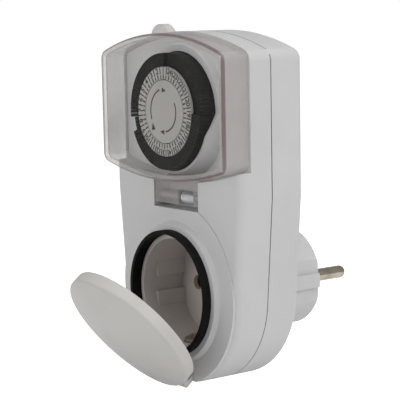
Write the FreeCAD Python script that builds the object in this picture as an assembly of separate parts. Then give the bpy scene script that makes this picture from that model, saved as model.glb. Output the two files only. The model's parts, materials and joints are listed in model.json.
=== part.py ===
"""Plug-in timer switch for outdoor use: a dial under a clear lid above an earthed socket.

The frame: the origin is the centre of the plug's face, between its two pins. +Y runs out of the
back along the pins, +X is to the right for someone who faces the dial, and +Z is up.
All lengths are millimetres and all angles are degrees.
"""
import FreeCAD, Part
import math
import os

V = FreeCAD.Vector
ALONG_X = V(1, 0, 0)
ALONG_Y = V(0, 1, 0)
ALONG_Z = V(0, 0, 1)

# Body outline, seen from the front
BODY_HALF_WIDTH = 37.5
BODY_TOP = 93.5
TOP_ARCH_R = 100.0
TOP_CORNER_R = 4.5
BOTTOM_R = 34.4
BOTTOM_CENTRE_Z = 1.0
KNEE_Z = 36.0

# Depths
PLUG_LENGTH = 24.5
BODY_DEPTH = 28.5
FRONT_SHELL_DEPTH = 13.6
PANEL_STEP = 4.6
WALL = 2.2
BACK_WALL = 2.5
FRONT_EDGE_R = 2.6
BACK_EDGE_R = 3.0

BACK_Y = -PLUG_LENGTH
FRONT_Y = BACK_Y - BODY_DEPTH
PARTING_Y = FRONT_Y + FRONT_SHELL_DEPTH
PANEL_Y = FRONT_Y + PANEL_STEP
PANEL_INNER_Y = PANEL_Y + WALL
BACK_INNER_Y = BACK_Y - BACK_WALL

# Clearances
SEAT_GAP = 0.05
FIT_GAP = 0.15
LOOSE_GAP = 0.3
RUN_GAP = 0.05

# Standard plug and socket
PIN_SPACING = 19.0
PIN_R = 2.4
PIN_LENGTH = 19.0
PIN_ROOT = 7.0
PIN_ROOT_R = 1.9
PIN_RELIEF = 0.4
PIN_STUB_R = 1.5
PIN_STUB = 5.0
PLUG_R = 18.5
PLUG_FLAT_X = 16.7
PLUG_FLAT_HALF = 8.0
PLUG_RIB_HALF = 2.6
PLUG_EDGE_R = 1.0
RECESS_R = 19.5
RECESS_DEPTH = 18.8
RECESS_LEDGE_X = 17.4
RECESS_LEDGE_HALF = 8.5
RECESS_LEDGE_START = 6.3
RECESS_GROOVE_HALF = 2.9
CUP_WALL = 1.6
CUP_SET_BACK = 1.0
SOCKET_HOLE_R = 2.75

# Collar and seal round the socket
COLLAR_R = 26.6
COLLAR_HEIGHT = 2.3
HALO_R = 33.0
HALO_HEIGHT = 0.5
SEAL_OUTER_R = 22.8
SEAL_INNER_R = 21.4
SEAL_PROUD = 2.8
SEAL_DEPTH = 5.2

# Gasket between the shells
GASKET_INSET = 0.8
GASKET_W = 0.7
GASKET_T = 0.8

# Socket flap
FLAP_R = 26.6
FLAP_RIM = 4.6
FLAP_DOME = 3.6
FLAP_EDGE_R = 1.2
FLAP_ARM_T = 2.2
FLAP_CENTRE_Z = -1.3
FLAP_HINGE_Z = -29.8
FLAP_HINGE_Y = FRONT_Y + 0.2
FLAP_OPEN = 38.0
FLAP_PIN_R = 1.2
FLAP_BARREL_R = 2.3
FLAP_BARREL_HALF = 9.0
FLAP_POCKET_DEPTH = 4.3

# Clear cover over the dial
COVER_HALF_WIDTH = 36.7
COVER_TOP = 93.0
COVER_TOP_R = 99.5
COVER_BOTTOM = 40.8
COVER_BOTTOM_R = 128.0
COVER_CORNER_R = 3.6
COVER_WALL = 1.5
COVER_PROUD = 6.6
COVER_EDGE_R = 1.2
COVER_TAB_R = 5.6
COVER_TAB_HEIGHT = 3.2
COVER_TAB_DEPTH = 3.4
LEDGE_GAP = 0.8
COVER_Y = FRONT_Y - COVER_PROUD

# Cover hinge
HINGE_HALF = 13.3
HINGE_LOW_Z = 30.2
HINGE_Z = 34.4
HINGE_Y = FRONT_Y + 3.0
HINGE_POCKET_DEPTH = 7.2
HINGE_PIN_R = 1.25
HINGE_PIN_SEAT = 2.0
KNUCKLE_R = 2.6
LUG_TOP_DEPTH = 2.4
SPRING_WIRE = 0.5
SPRING_R = 1.95
SPRING_PITCH = 0.95
SPRING_TURNS = 8
SPRING_START_X = 1.8

# Dial
DIAL_Z = 65.3
DIAL_Y = FRONT_Y - 4.3
DISC_R = 11.2
HOUR_RING_INNER_R = 11.5
HOUR_RING_R = 15.9
HOUR_RING_T = 1.1
TAPPET_COUNT = 96
TAPPETS_PER_HOUR = 4
TAPPET_INNER_R = 16.1
TAPPET_OUTER_R = 20.8
TAPPET_LENGTH = 6.6
TAPPET_GAP = 0.14
TAPPET_TRAVEL = 1.6
TAIL_INNER_R = 16.6
TAIL_OUTER_R = 18.9
TAIL_T = 0.7
FIRST_TAPPET_ANGLE = 0.0
TAPPETS_SET = 24
SLIDING_TAPPETS = (50, 51, 52, 53)
DRUM_WALL = 2.0
DRUM_WEB = 1.6
HUB_R = 5.0
AXLE_R = 2.5

# Collar that rises from the panel to the dial
DIAL_HOLE_R = 21.3
DIAL_COLLAR_R = 24.6
DIAL_COLLAR_HEIGHT = 2.3
GUARD_HEIGHT = 6.1
GUARD_SLOPE = 26.0

# Gear train
MODULE = 0.5
PINION_TEETH = 12
WHEEL_TEETH = 48
DIAL_TEETH = 80
BACKLASH = 0.12
GEAR_T = 1.6
LEVEL_GAP = 0.4
TRAIN_ANGLE_2 = -40.0
TRAIN_ANGLE_1 = 180.0
TRAIN_ANGLE_0 = 150.0
TRAIN_AXLE_R = 0.8
PLATE_T = 1.4

# Motor, lever and switch
MOTOR_R = 15.0
MOTOR_WALL = 0.8
ROTOR_R = 5.0
COIL_INNER_R = 6.4
COIL_OUTER_R = 12.6
SHAFT_R = 1.0
LEVER_HALF = 2.5
LEVER_T = 0.8
LEVER_PIVOT_X = -23.6
LEVER_PIN_R = 0.8
LEVER_BOSS_R = 1.6
PLUNGER_X = -28.5
PLUNGER_R = 1.0
SWITCH_LEFT = -34.0
SWITCH_RIGHT = -26.2
SWITCH_LOW = 54.0
SWITCH_HIGH = 73.6

# Screws
SCREW_R = 1.5
SCREW_HEAD_R = 2.9
SCREW_HEAD_T = 1.9
SCREW_BOSS_R = 3.3
HOUSING_SCREWS = ((31.2, 77.5), (-31.2, 77.5), (24.9, -13.2), (-24.9, -13.2))
PLATE_SCREWS = ((22.0, 84.0), (-22.0, 84.0), (-22.0, 42.0))
PLATE_SCREW_R = 1.1
PLATE_SCREW_HEAD_R = 2.1
PLATE_BOSS_R = 2.7

# Conductors
STRIP_T = 0.8
STRIP_HALF = 2.0
SLEEVE_R = 3.2
STRIP_X = 4.4
SLEEVE_LENGTH = 18.0
EARTH_HALF = 2.5
EARTH_T = 0.8

os.makedirs("parts", exist_ok=True)


def save(shape, name):
    """Write one node."""
    shape.exportStep("parts/" + name + ".step")


def box(x0, x1, y0, y1, z0, z1):
    """A box between two corners."""
    return Part.makeBox(x1 - x0, y1 - y0, z1 - z0, V(x0, y0, z0))


def rod_y(x, z, r, y0, y1):
    """A cylinder along Y."""
    return Part.makeCylinder(r, y1 - y0, V(x, y0, z), ALONG_Y)


def rod_x(y, z, r, x0, x1):
    """A cylinder along X."""
    return Part.makeCylinder(r, x1 - x0, V(x0, y, z), ALONG_X)


def rod_z(x, y, r, z0, z1):
    """A cylinder along Z."""
    return Part.makeCylinder(r, z1 - z0, V(x, y, z0), ALONG_Z)


def tube_y(x, z, outer, inner, y0, y1):
    """A tube along Y."""
    return rod_y(x, z, outer, y0, y1).cut(rod_y(x, z, inner, y0 - 1, y1 + 1))


def cone_y(x, z, r0, r1, y0, y1):
    """A cone along Y, r0 at y0 and r1 at y1."""
    return Part.makeCone(r0, r1, y1 - y0, V(x, y0, z), ALONG_Y)


def fuse(shapes):
    """One solid from several that touch."""
    return shapes[0].multiFuse(shapes[1:]).removeSplitter()


def plate(edges, y0, y1):
    """A plate between two depths from edges that lie in the plane Y = 0."""
    face = Part.Face(Part.Wire(Part.__sortEdges__(edges)))
    face.translate(V(0, y0, 0))
    return face.extrude(V(0, y1 - y0, 0))


def arc_edge(cx, cz, r, a0, a1):
    """An arc in the XZ plane from angle a0 to a1, measured from +X towards +Z."""
    points = []
    for angle in (a0, (a0 + a1) / 2, a1):
        t = math.radians(angle)
        points.append(V(cx + r * math.cos(t), 0, cz + r * math.sin(t)))
    return Part.Arc(*points).toShape()


def line_edge(x0, z0, x1, z1):
    """A straight edge in the XZ plane."""
    return Part.makeLine(V(x0, 0, z0), V(x1, 0, z1))


def body_edges(inset):
    """The outline of the body, moved inwards by inset."""
    w = BODY_HALF_WIDTH - inset
    r = BOTTOM_R - inset
    arch_r = TOP_ARCH_R - inset
    arch_z = BODY_TOP - TOP_ARCH_R
    corner = max(TOP_CORNER_R - inset, 0.8)
    rise = KNEE_Z - BOTTOM_CENTRE_Z
    reach = math.hypot(w, rise)
    low = math.degrees(math.atan2(rise, w) - math.acos(r / reach))
    tx = r * math.cos(math.radians(low))
    tz = BOTTOM_CENTRE_Z + r * math.sin(math.radians(low))
    cx = w - corner
    cz = arch_z + math.sqrt((arch_r - corner) ** 2 - cx ** 2)
    top = math.degrees(math.atan2(cz - arch_z, cx))
    return [
        arc_edge(0, BOTTOM_CENTRE_Z, r, -180 - low, low),
        line_edge(tx, tz, w, KNEE_Z),
        line_edge(w, KNEE_Z, w, cz),
        arc_edge(cx, cz, corner, 0, top),
        arc_edge(0, arch_z, arch_r, top, 180 - top),
        arc_edge(-cx, cz, corner, 180 - top, 180),
        line_edge(-w, cz, -w, KNEE_Z),
        line_edge(-w, KNEE_Z, -tx, tz),
    ]


def cover_edges(inset):
    """The outline of the clear cover, moved inwards by inset."""
    w = COVER_HALF_WIDTH - inset
    corner = max(COVER_CORNER_R - inset, 0.8)
    cx = w - corner
    top_r = COVER_TOP_R - inset
    top_z = COVER_TOP - COVER_TOP_R
    low_r = COVER_BOTTOM_R - inset
    low_z = COVER_BOTTOM + COVER_BOTTOM_R
    high = top_z + math.sqrt((top_r - corner) ** 2 - cx ** 2)
    low = low_z - math.sqrt((low_r - corner) ** 2 - cx ** 2)
    top = math.degrees(math.atan2(high - top_z, cx))
    bottom = math.degrees(math.atan2(low - low_z, cx))
    return [
        arc_edge(0, top_z, top_r, top, 180 - top),
        arc_edge(-cx, high, corner, 180 - top, 180),
        line_edge(-w, high, -w, low),
        arc_edge(-cx, low, corner, 180, 180 - bottom),
        arc_edge(0, low_z, low_r, -180 - bottom, bottom),
        arc_edge(cx, low, corner, bottom, 0),
        line_edge(w, low, w, high),
        arc_edge(cx, high, corner, 0, top),
    ]


def outer_edges(shape, y):
    """The edges of the outer outline that lie at depth y."""
    rim = Part.Wire(rim_at(y))
    found = []
    for edge in shape.Edges:
        b = edge.BoundBox
        flat = abs(b.YMin - y) < 1e-4 and abs(b.YMax - y) < 1e-4
        mid = edge.valueAt((edge.FirstParameter + edge.LastParameter) / 2)
        near = Part.Vertex(mid).distToShape(rim)[0] < 0.02 if flat else False
        if flat and near:
            found.append(edge)
    return found


def rim_at(y):
    """The body's outline as edges at depth y."""
    rim = []
    for edge in body_edges(0):
        edge.translate(V(0, y, 0))
        rim.append(edge)
    return Part.__sortEdges__(rim)


def sector(r0, r1, a0, a1, y0, y1):
    """A piece of a ring between two angles, in plan on the dial's axis."""
    t0 = math.radians(a0)
    t1 = math.radians(a1)
    edges = [
        arc_edge(0, DIAL_Z, r1, a0, a1),
        line_edge(r1 * math.cos(t1), DIAL_Z + r1 * math.sin(t1), r0 * math.cos(t1),
            DIAL_Z + r0 * math.sin(t1)),
        arc_edge(0, DIAL_Z, r0, a0, a1),
        line_edge(r0 * math.cos(t0), DIAL_Z + r0 * math.sin(t0), r1 * math.cos(t0),
            DIAL_Z + r1 * math.sin(t0)),
    ]
    return plate(edges, y0, y1)


def gear(teeth, x, z, turn, y0, y1):
    """A spur gear on an axis along Y, with its first tooth at the angle turn."""
    pitch = MODULE * teeth / 2
    base = pitch * math.cos(math.radians(20))
    tip = pitch + 0.85 * MODULE
    root = pitch - 1.15 * MODULE
    half = math.pi / (2 * teeth) - BACKLASH / (2 * pitch)
    inv_pitch = math.tan(math.radians(20)) - math.radians(20)

    def flank(r):
        if r <= base:
            return half + inv_pitch
        angle = math.acos(base / r)
        return half + inv_pitch - (math.tan(angle) - angle)

    radii = [root, max(base, root + 0.01), (max(base, root) + pitch) / 2, pitch, (pitch + tip) / 2, tip]
    points = []
    for k in range(teeth):
        middle = math.radians(turn) + 2 * math.pi * k / teeth
        for r in radii:
            a = middle - flank(r)
            points.append(V(x + r * math.cos(a), y0, z + r * math.sin(a)))
        for r in reversed(radii):
            a = middle + flank(r)
            points.append(V(x + r * math.cos(a), y0, z + r * math.sin(a)))
    points.append(points[0])
    return Part.Face(Part.makePolygon(points)).extrude(V(0, y1 - y0, 0))


def mesh_turn(driver_teeth, driver_turn, teeth, direction):
    """The turn that puts a gap of the second gear on a tooth of the first, along direction."""
    offset = (direction - driver_turn) / (360.0 / driver_teeth)
    part = offset - math.floor(offset)
    facing = direction + 180
    return facing + (360.0 / teeth) * (0.5 + part)


def screw(x, z, r, head_r, head_t, seat_y, tip_y):
    """A cross-head screw whose head stands on seat_y and whose tip points to the front."""
    head = rod_y(x, z, head_r, seat_y, seat_y + head_t)
    cross = box(x - head_r * 0.6, x + head_r * 0.6, seat_y + head_t * 0.5, seat_y + head_t + 1,
        z - 0.35, z + 0.35)
    turned = cross.copy()
    turned.rotate(V(x, 0, z), ALONG_Y, 90)
    return head.fuse(rod_y(x, z, r, tip_y, seat_y)).removeSplitter().cut(cross).cut(turned)


# Derived places
PIN_X = PIN_SPACING / 2
COLLAR_Y = FRONT_Y - COLLAR_HEIGHT
RECESS_FLOOR_Y = COLLAR_Y + RECESS_DEPTH
SEAL_BACK_Y = COLLAR_Y - SEAL_PROUD + SEAL_DEPTH
CUP_R = RECESS_R + CUP_WALL
CUP_BACK_Y = RECESS_FLOOR_Y + CUP_WALL
FLAP_BACK_Y = COLLAR_Y - FIT_GAP
DIAL_GEAR_Y = PANEL_INNER_Y + 0.6
TAPPET_BACK_Y = DIAL_Y + TAPPET_LENGTH
TAIL_END_Y = DIAL_GEAR_Y + GEAR_T + 0.2
LEVEL_2_Y = TAIL_END_Y + TAPPET_TRAVEL + LEVEL_GAP
LEVEL_3_Y = LEVEL_2_Y + GEAR_T + LEVEL_GAP
PLATE_Y = LEVEL_3_Y + GEAR_T + LEVEL_GAP
PLATE_BACK_Y = PLATE_Y + PLATE_T
MOTOR_BACK_Y = BACK_INNER_Y - LOOSE_GAP
LEVER_Y = TAIL_END_Y + TAPPET_TRAVEL + LOOSE_GAP + 0.6
LEVER_PIVOT_Y = LEVER_Y + LEVER_T / 2
SWITCH_Y = LEVER_Y + LEVER_T + 1.2


def polar(x, z, r, angle):
    """The point at a distance and an angle from another."""
    return x + r * math.cos(math.radians(angle)), z + r * math.sin(math.radians(angle))


WHEEL_2_X, WHEEL_2_Z = polar(0, DIAL_Z, MODULE * (DIAL_TEETH + PINION_TEETH) / 2, TRAIN_ANGLE_2)
WHEEL_1_X, WHEEL_1_Z = polar(WHEEL_2_X, WHEEL_2_Z, MODULE * (WHEEL_TEETH + PINION_TEETH) / 2, TRAIN_ANGLE_1)
MOTOR_X, MOTOR_Z = polar(WHEEL_1_X, WHEEL_1_Z, MODULE * (WHEEL_TEETH + PINION_TEETH) / 2, TRAIN_ANGLE_0)
TURN_2 = mesh_turn(DIAL_TEETH, 0, PINION_TEETH, TRAIN_ANGLE_2)
TURN_1 = mesh_turn(WHEEL_TEETH, TURN_2, PINION_TEETH, TRAIN_ANGLE_1)
TURN_0 = mesh_turn(WHEEL_TEETH, TURN_1, PINION_TEETH, TRAIN_ANGLE_0)


def front_housing():
    """The front shell with its dial panel, socket collar and hinge pockets."""
    solid = plate(body_edges(0), FRONT_Y, PARTING_Y)
    solid = solid.makeFillet(FRONT_EDGE_R, outer_edges(solid, FRONT_Y))
    ledge_r = COVER_BOTTOM_R + LEDGE_GAP
    ledge = rod_y(0, COVER_BOTTOM + COVER_BOTTOM_R, ledge_r, FRONT_Y - 1, PANEL_Y)
    solid = solid.cut(ledge)
    low_room = plate(body_edges(WALL), FRONT_Y + WALL, PARTING_Y + 1)
    high_room = rod_y(0, COVER_BOTTOM + COVER_BOTTOM_R, ledge_r + WALL, FRONT_Y, PANEL_INNER_Y)
    solid = solid.cut(low_room.cut(high_room))

    # The halo is a low round step on the front, and the collar stands on it
    halo = rod_y(0, 0, HALO_R, FRONT_Y - HALO_HEIGHT, FRONT_Y + 1.0)
    collar = cone_y(0, 0, COLLAR_R - 1.8, COLLAR_R, COLLAR_Y, FRONT_Y + 1.0)
    barrel = rod_y(0, 0, CUP_R + WALL, FRONT_Y, PARTING_Y)
    bosses = []
    for x, z in HOUSING_SCREWS:
        bosses.append(rod_y(x, z, SCREW_BOSS_R, FRONT_Y + WALL if z < KNEE_Z else PANEL_Y + 1,
            PARTING_Y - 0.6))
    for x, z in PLATE_SCREWS:
        bosses.append(rod_y(x, z, PLATE_BOSS_R, PANEL_Y + 1, PLATE_Y))
    side = HINGE_HALF + HINGE_PIN_SEAT + 1.4
    pocket_y = FRONT_Y + HINGE_POCKET_DEPTH
    hinge_box = box(-side, side, FRONT_Y + 1, pocket_y + WALL, HINGE_LOW_Z - WALL, COVER_BOTTOM - LEDGE_GAP)
    hinge_roof = box(-side, side, PANEL_Y, pocket_y + WALL, COVER_BOTTOM - 2, COVER_BOTTOM + 3)
    side = FLAP_BARREL_HALF + LOOSE_GAP + HINGE_PIN_SEAT + 1.2
    flap_top = FLAP_HINGE_Z + FLAP_BARREL_R + 0.4
    flap_box = box(-side, side, FRONT_Y + 1, FRONT_Y + FLAP_POCKET_DEPTH + WALL, FLAP_HINGE_Z - 4,
        flap_top + WALL)
    inside = plate(body_edges(WALL / 2), FRONT_Y, PLATE_Y)
    added = []
    for piece in bosses + [hinge_box, hinge_roof, flap_box]:
        added.append(piece.common(inside))
    cone = cone_y(0, DIAL_Z, DIAL_COLLAR_R - 2.6, DIAL_COLLAR_R, PANEL_Y - DIAL_COLLAR_HEIGHT,
        PANEL_Y + 0.5)
    guard = cone_y(0, DIAL_Z, DIAL_COLLAR_R - 2.4, DIAL_COLLAR_R, PANEL_Y - GUARD_HEIGHT, PANEL_Y + 0.5)
    above = box(-40, 40, PANEL_Y - 20, PANEL_Y - DIAL_COLLAR_HEIGHT, DIAL_Z, DIAL_Z + 40)
    slope = box(-40, 40, -20, 0, -40, 0)
    slope.rotate(V(0, 0, 0), ALONG_X, -GUARD_SLOPE)
    slope.translate(V(0, PANEL_Y - DIAL_COLLAR_HEIGHT, DIAL_Z))
    guard = guard.cut(above).cut(slope)
    inside_cover = COVER_BOTTOM_R - COVER_WALL - 0.5
    round_dial = cone.fuse(guard).common(rod_y(0, COVER_BOTTOM + COVER_BOTTOM_R, inside_cover,
        PANEL_Y - 20, PARTING_Y))
    solid = fuse([solid, halo, collar, barrel, round_dial] + added)

    # Openings
    solid = solid.cut(rod_y(0, 0, SEAL_OUTER_R + SEAT_GAP, COLLAR_Y - 1, SEAL_BACK_Y))
    solid = solid.cut(rod_y(0, 0, CUP_R + SEAT_GAP, COLLAR_Y - 1, PARTING_Y + 1))
    solid = solid.cut(rod_y(0, DIAL_Z, DIAL_HOLE_R, PANEL_Y - 20, PANEL_INNER_Y + 0.5))
    solid = solid.cut(box(-HINGE_HALF, HINGE_HALF, FRONT_Y - 5, pocket_y, HINGE_LOW_Z, COVER_BOTTOM - 1.3))
    solid = solid.cut(box(-HINGE_HALF, HINGE_HALF, FRONT_Y - 5, PANEL_Y, HINGE_LOW_Z, COVER_BOTTOM + 1.9))
    side = FLAP_BARREL_HALF + LOOSE_GAP
    solid = solid.cut(box(-side, side, FRONT_Y - 5, FRONT_Y + FLAP_POCKET_DEPTH, FLAP_HINGE_Z - 12,
        flap_top))
    seat = HINGE_HALF + HINGE_PIN_SEAT
    solid = solid.cut(rod_x(HINGE_Y, HINGE_Z, HINGE_PIN_R, -seat, seat))
    seat = FLAP_BARREL_HALF + LOOSE_GAP + HINGE_PIN_SEAT
    solid = solid.cut(rod_x(FLAP_HINGE_Y + 1.2, FLAP_HINGE_Z, FLAP_PIN_R, -seat, seat))
    for x, z in HOUSING_SCREWS:
        solid = solid.cut(rod_y(x, z, SCREW_R, PARTING_Y - 7.5, PARTING_Y + 1))
    for x, z in PLATE_SCREWS:
        solid = solid.cut(rod_y(x, z, PLATE_SCREW_R, PLATE_Y - 5.5, PLATE_Y + 1))
    save(solid, "front_housing")


def rear_housing():
    """The rear shell and the plug body that grows out of it."""
    solid = plate(body_edges(0), PARTING_Y, BACK_Y)
    solid = solid.makeFillet(BACK_EDGE_R, outer_edges(solid, BACK_Y))
    solid = solid.cut(plate(body_edges(WALL), PARTING_Y - 1, BACK_INNER_Y))
    body = rod_y(0, 0, PLUG_R, BACK_Y - 1, 0)
    rim = [e for e in body.Edges if abs(e.BoundBox.YMin) < 1e-4 and abs(e.BoundBox.YMax) < 1e-4]
    body = body.makeFillet(PLUG_EDGE_R, rim)
    for side in (-1, 1):
        x0, x1 = sorted((side * PLUG_FLAT_X, side * (PLUG_R + 2)))
        for z0, z1 in ((-PLUG_FLAT_HALF, -PLUG_RIB_HALF), (PLUG_RIB_HALF, PLUG_FLAT_HALF)):
            body = body.cut(box(x0, x1, BACK_Y, 1, z0, z1))
        z0, z1 = sorted((side * (PLUG_R - 1.5), side * (PLUG_R + 2)))
        body = body.cut(box(-EARTH_HALF - 0.6, EARTH_HALF + 0.6, BACK_Y + 4, 1, z0, z1))
    solid = solid.fuse(body).removeSplitter()
    bosses = []
    for x, z in HOUSING_SCREWS:
        bosses.append(rod_y(x, z, SCREW_BOSS_R, PARTING_Y + 0.6, BACK_INNER_Y + 0.5))
    inside = plate(body_edges(WALL / 2), PARTING_Y, BACK_INNER_Y + 0.5)
    solid = fuse([solid] + [boss.common(inside) for boss in bosses])
    for x, z in HOUSING_SCREWS:
        solid = solid.cut(rod_y(x, z, SCREW_R + 0.1, PARTING_Y - 1, BACK_Y + 1))
        solid = solid.cut(rod_y(x, z, SCREW_HEAD_R + 0.3, BACK_Y - 3.0, BACK_Y + 1))
    for side in (-1, 1):
        x = side * PIN_X
        solid = solid.cut(rod_y(x, 0, SLEEVE_R + FIT_GAP, BACK_INNER_Y - 1, SLEEVE_END_Y + FIT_GAP))
        solid = solid.cut(rod_y(x, 0, PIN_ROOT_R + SEAT_GAP, -PIN_ROOT, 1))
        solid = solid.cut(rod_y(x, 0, PIN_R + SEAT_GAP, -PIN_RELIEF, 1))
        solid = solid.cut(rod_y(x, 0, PIN_STUB_R + FIT_GAP, SLEEVE_END_Y, -PIN_ROOT + 1))
        x0, x1 = sorted((side * (STRIP_X - FIT_GAP), side * (PIN_X + STRIP_HALF)))
        solid = solid.cut(box(x0, x1, TAB_Y - FIT_GAP, TAB_Y + STRIP_T + FIT_GAP, -STRIP_HALF - FIT_GAP,
            STRIP_HALF + FIT_GAP))
        x0, x1 = sorted((side * (STRIP_X - FIT_GAP), side * (STRIP_X + STRIP_T + FIT_GAP)))
        solid = solid.cut(box(x0, x1, BACK_INNER_Y - 1, TAB_Y + STRIP_T, -STRIP_HALF - FIT_GAP,
            STRIP_HALF + FIT_GAP))
        z0, z1 = sorted((side * (EARTH_PLUG_Z - FIT_GAP), side * (EARTH_PLUG_Z + EARTH_T + FIT_GAP)))
        solid = solid.cut(box(-EARTH_HALF - FIT_GAP, EARTH_HALF + FIT_GAP, BACK_INNER_Y - 1,
            BACK_Y + 4.5, z0, z1))
    groove = plate(body_edges(GASKET_INSET - SEAT_GAP), PARTING_Y - 1, PARTING_Y + GASKET_T)
    groove = groove.cut(plate(body_edges(GASKET_INSET + GASKET_W + SEAT_GAP), PARTING_Y - 2,
        PARTING_Y + GASKET_T + 1))
    solid = solid.cut(groove)
    save(solid, "rear_housing")


SLEEVE_START_Y = CUP_BACK_Y + 0.05
SLEEVE_END_Y = SLEEVE_START_Y + SLEEVE_LENGTH
TAB_Y = -PIN_ROOT - 3.0
STRIP_LEVEL_Y = CUP_BACK_Y + 2.6
EARTH_PLUG_Z = PLUG_R - 1.5


def housing_pieces():
    """The gasket between the shells and the screws that hold them."""
    loop = plate(body_edges(GASKET_INSET), PARTING_Y, PARTING_Y + GASKET_T)
    loop = loop.cut(plate(body_edges(GASKET_INSET + GASKET_W), PARTING_Y - 1, PARTING_Y + GASKET_T + 1))
    save(loop, "housing_gasket")
    screws = []
    for x, z in HOUSING_SCREWS:
        screws.append(screw(x, z, SCREW_R - 0.02, SCREW_HEAD_R, SCREW_HEAD_T, BACK_Y - 3.0,
            PARTING_Y - 7.0))
    save(Part.makeCompound(screws), "housing_screws")


def dial_cover():
    """The clear box lid over the dial, with its finger tab and hinge lug."""
    back_y = PANEL_Y - LOOSE_GAP
    solid = plate(cover_edges(0), COVER_Y, back_y)
    rim = [e for e in solid.Edges if abs(e.BoundBox.YMin - COVER_Y) < 1e-4
        and abs(e.BoundBox.YMax - COVER_Y) < 1e-4]
    solid = solid.makeFillet(COVER_EDGE_R, rim)
    tab_z = COVER_TOP + COVER_TAB_HEIGHT - COVER_TAB_R
    tab = rod_y(0, tab_z, COVER_TAB_R, COVER_Y + COVER_EDGE_R, COVER_Y + COVER_EDGE_R + COVER_TAB_DEPTH)
    tab = tab.common(box(-10, 10, COVER_Y, back_y, COVER_TOP - 1.2, COVER_TOP + 10))
    room = plate(cover_edges(COVER_WALL), COVER_Y + COVER_WALL, back_y + 1)

    # The lug drops from the bottom wall into the pocket and turns on the pin
    lug_half = HINGE_HALF - 0.4
    shank = box(-lug_half, lug_half, HINGE_Y - KNUCKLE_R, HINGE_Y - KNUCKLE_R + LUG_TOP_DEPTH, HINGE_Z,
        COVER_BOTTOM + COVER_WALL)
    knuckle = rod_x(HINGE_Y, HINGE_Z, KNUCKLE_R, -lug_half, lug_half)
    toe = box(-lug_half, lug_half, HINGE_Y - KNUCKLE_R, HINGE_Y, HINGE_Z - KNUCKLE_R, HINGE_Z)
    solid = fuse([solid, tab, shank, knuckle.fuse(toe)])
    solid = solid.cut(room)
    spring_room = box(SPRING_LEFT_X - 0.5, SPRING_RIGHT_X + 0.5, HINGE_Y - 4, HINGE_Y + 4, HINGE_Z - 4,
        HINGE_Z + SPRING_R + SPRING_WIRE + 0.5)
    solid = solid.cut(spring_room)
    solid = solid.cut(rod_x(HINGE_Y, HINGE_Z, HINGE_PIN_R + RUN_GAP, -HINGE_HALF - 1, HINGE_HALF + 1))
    save(solid, "dial_cover")
    pin_half = HINGE_HALF + HINGE_PIN_SEAT - 0.1
    save(rod_x(HINGE_Y, HINGE_Z, HINGE_PIN_R - 0.005, -pin_half, pin_half), "cover_hinge_pin")


SPRING_LEFT_X = SPRING_START_X - SPRING_WIRE / 2
SPRING_RIGHT_X = SPRING_START_X + SPRING_PITCH * SPRING_TURNS + SPRING_WIRE / 2


def spring_point(turn):
    """The middle of the wire after so many turns."""
    a = 2 * math.pi * turn
    x = SPRING_START_X + SPRING_PITCH * turn
    return V(x, HINGE_Y + SPRING_R * math.cos(a), HINGE_Z + SPRING_R * math.sin(a))


def spring_tangent(turn):
    """The direction of the wire after so many turns."""
    a = 2 * math.pi * turn
    speed = V(SPRING_PITCH / (2 * math.pi), -SPRING_R * math.sin(a), SPRING_R * math.cos(a))
    return speed.normalize()


def biarc(p0, t0, p1, t1):
    """Two arcs that leave p0 along t0 and reach p1 along t1."""
    v = p1 - p0
    t = t0 + t1
    a = 2 * (1 - t0.dot(t1))
    b = 2 * v.dot(t)
    d = (-b + math.sqrt(b * b + 4 * a * v.dot(v))) / (2 * a)
    middle = (p0 + t0 * d + p1 - t1 * d) * 0.5
    edges = []
    for start, tangent, end in ((p0, t0, middle), (p1, t1 * -1, middle)):
        chord = end - start
        normal = tangent.cross(chord).cross(tangent).normalize()
        radius = chord.dot(chord) / (2 * chord.dot(normal))
        centre = start + normal * radius
        half = ((start - centre) + (end - centre)).normalize()
        edges.append(Part.Arc(start, centre + half * radius, end).toShape())
    return edges


def cover_spring():
    """The torsion spring round the cover's hinge pin, as one wire of even turns."""
    steps = SPRING_TURNS * 4
    edges = []
    for k in range(steps):
        a = k / 4.0
        b = (k + 1) / 4.0
        edges += biarc(spring_point(a), spring_tangent(a), spring_point(b), spring_tangent(b))
    first = spring_point(0)
    lead = first - spring_tangent(0) * SPRING_WIRE
    last = spring_point(SPRING_TURNS)
    tail = last + spring_tangent(SPRING_TURNS) * SPRING_WIRE
    edges = [Part.makeLine(lead, first)] + edges + [Part.makeLine(last, tail)]
    path = Part.Wire(Part.__sortEdges__(edges))
    profile = Part.Wire([Part.makeCircle(SPRING_WIRE / 2, lead, spring_tangent(0))])
    coil = path.makePipeShell([profile], True, False)
    least = 1e9
    samples = [spring_point(k / 48.0) for k in range(SPRING_TURNS * 48 + 1)]
    for i in range(0, len(samples), 4):
        for j in range(i + 36, len(samples)):
            least = min(least, (samples[i] - samples[j]).Length - SPRING_WIRE)
    print("cover spring least gap to itself %.2f mm" % least)
    save(coil, "cover_spring")


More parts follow.
